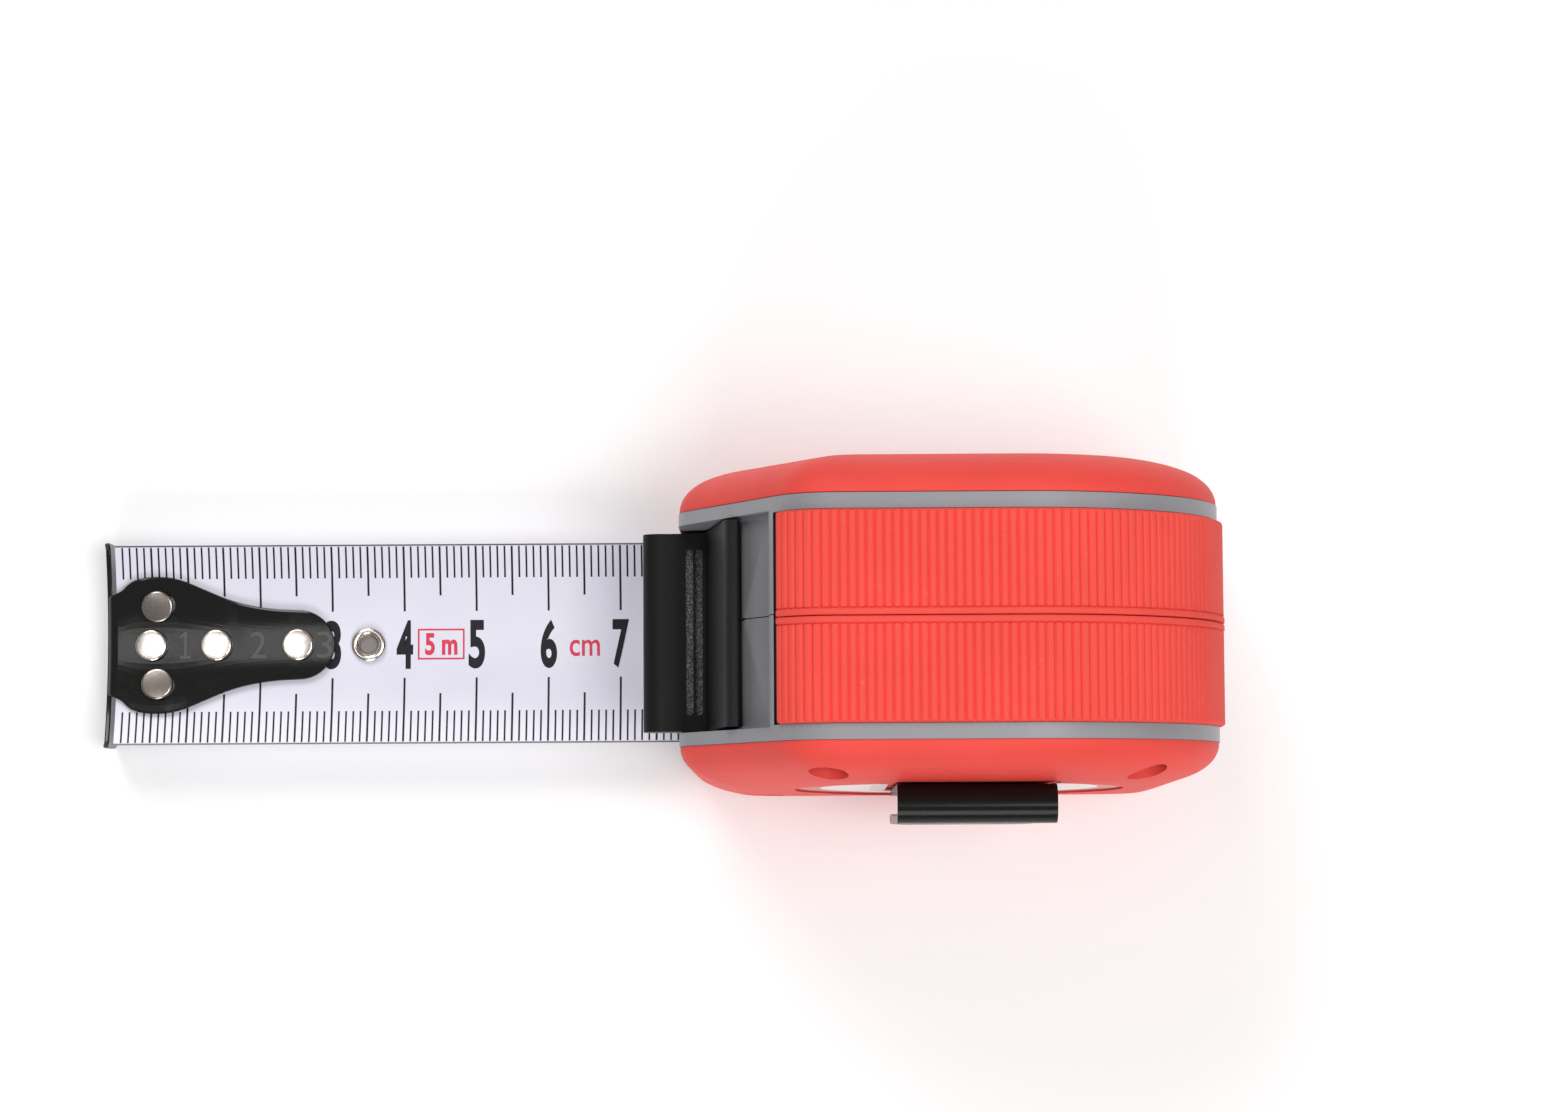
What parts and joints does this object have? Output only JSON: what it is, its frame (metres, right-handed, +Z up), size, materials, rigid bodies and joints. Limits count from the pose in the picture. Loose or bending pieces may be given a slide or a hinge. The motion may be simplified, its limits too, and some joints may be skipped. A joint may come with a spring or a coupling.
{
  "type": "tape measure",
  "caption": "Pocket tape measure with a two-tone case, ribbed grip, sliding lock, belt clip, spring-wound spool and a printed steel blade with a floating end hook.",
  "frame": {"origin": "on the flat base, under the spool's axis, on the line between the sides", "axes": "+X to the rear of the case (the blade comes out towards -X), +Y away from the belt clip, +Z up"},
  "size_m": [0.151, 0.0475, 0.0667],
  "materials": {
    "red_shell": "satin moulded",
    "red_rubber": "matt, ribbed",
    "grey_core": "satin moulded",
    "black_lock": "fine texture",
    "black_paint": "gloss black",
    "steel": "polished",
    "spring_steel": "blued",
    "blade_lacquer": "lacquered, satin",
    "label_film": "printed film",
    "inner_plastic": "plain",
    "brake_rubber": "matt"
  },
  "bodies": {
    "case": {"case_left": "grey_core", "case_right": "grey_core", "side_cover_left": "red_shell", "side_cover_right": "red_shell", "grip_left": "red_rubber", "grip_right": "red_rubber", "label_left": "label_film", "label_right": "label_film", "case_screw_1": "steel", "case_screw_2": "steel", "case_screw_3": "steel", "case_screw_4": "steel", "belt_clip": "black_paint", "belt_clip_screw": "steel", "mouth_plate": "steel", "mouth_bumper": "brake_rubber", "spindle": "inner_plastic", "mainspring": "spring_steel"},
    "spool": {"spool_drum": "inner_plastic", "spool_cap": "inner_plastic", "blade_coil": "blade_lacquer"},
    "lock": {"lock_button": "black_lock", "brake_pad_left": "brake_rubber", "brake_pad_right": "brake_rubber"},
    "blade": {"blade": "blade_lacquer", "blade_eyelet": "steel", "hook_rivet_1": "steel", "hook_rivet_2": "steel", "hook_rivet_3": "steel", "hook_rivet_4": "steel", "hook_rivet_5": "steel"},
    "blade_tail": {"blade_tail": "blade_lacquer"},
    "hook": {"hook": "black_paint"}
  },
  "joints": [
    {"name": "blade_slide", "type": "slide", "parent": "case", "child": "blade", "axis": [1, 0, 0], "range_m": [-0.01, 0.078]},
    {"name": "blade_tail_slide", "type": "slide", "parent": "blade", "child": "blade_tail", "axis": [1, 0, 0], "range_m": [-0.0291, 0.0038]},
    {"name": "spool_spin", "type": "hinge", "parent": "case", "child": "spool", "pos_m": [0, 0, 0.033], "axis": [0, 1, 0], "range_deg": [-190, 25]},
    {"name": "hook_float", "type": "slide", "parent": "blade", "child": "hook", "axis": [-1, 0, 0], "range_m": [0, 0.001]},
    {"name": "lock_slide", "type": "slide", "parent": "case", "child": "lock", "axis": [0.1063, 0, 0.9943], "range_m": [0, 0.0055]}
  ],
  "couplings": [
    {"joint": "spool_spin", "follows": "blade_slide", "rad_per_m": -42.373},
    {"joint": "blade_tail_slide", "follows": "blade_slide", "ratio": -0.37179}
  ]
}
